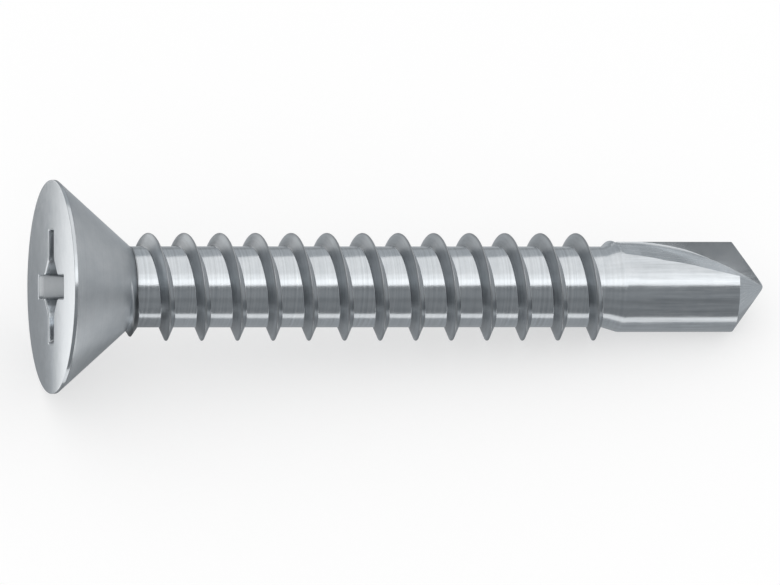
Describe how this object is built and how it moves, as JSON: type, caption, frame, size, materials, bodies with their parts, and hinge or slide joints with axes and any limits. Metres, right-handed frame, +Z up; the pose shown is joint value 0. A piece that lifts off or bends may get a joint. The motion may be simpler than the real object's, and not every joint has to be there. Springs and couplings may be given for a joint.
{
  "type": "self drilling screw",
  "caption": "Self drilling screw with a flat countersunk head, a cross recess, a coarse tapping thread and a fluted drill point, lying on its head and thread.",
  "frame": {"origin": "middle of the bottom of the bounding box, on the surface that the screw lies on", "axes": "+Z up; +X from the head towards the tip, level; the screw's own axis dips 5.52 degrees below +X towards the tip, because the head is wider than the thread"},
  "size_m": [0.0322, 0.0092, 0.0093],
  "materials": {
    "steel": "bright zinc-plated or bright stainless steel, smooth, with fine marks along and round the axis from rolling"
  },
  "bodies": {
    "root": {"screw": "steel"}
  },
  "joints": []
}
